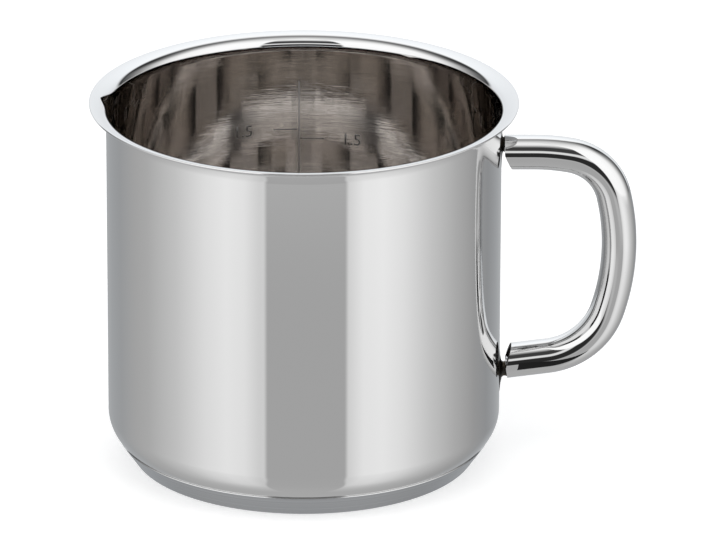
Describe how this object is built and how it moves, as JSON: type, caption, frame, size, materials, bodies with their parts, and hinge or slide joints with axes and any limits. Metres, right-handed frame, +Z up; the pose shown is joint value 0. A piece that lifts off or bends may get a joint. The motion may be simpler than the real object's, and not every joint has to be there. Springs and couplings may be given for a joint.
{
  "type": "milk pan",
  "caption": "Tall straight-sided milk pan in polished steel with a flared pouring rim, an encapsulated base and a welded loop handle of round tube.",
  "frame": {"origin": "middle of the flat underside of the base", "axes": "+Z up along the pot's axis, +X from the axis to the handle, the pouring beak towards -X"},
  "size_m": [0.1992, 0.1558, 0.1363],
  "materials": {
    "polished_steel": "mirror-polished stainless steel, satin-brushed inside the pot",
    "satin_steel": "fine turned satin stainless steel",
    "core_aluminium": "plain pressed aluminium",
    "braze": "dull aluminium-silicon braze",
    "weld_steel": "darkened weld on stainless steel"
  },
  "bodies": {
    "root": {"pot_body": "polished_steel", "base_cap": "satin_steel", "heat_disc": "core_aluminium", "upper_braze_layer": "braze", "lower_braze_layer": "braze", "handle_tube": "polished_steel", "upper_end_plug": "satin_steel", "lower_end_plug": "satin_steel", "upper_weld_foot": "weld_steel", "lower_weld_foot": "weld_steel"}
  },
  "joints": []
}
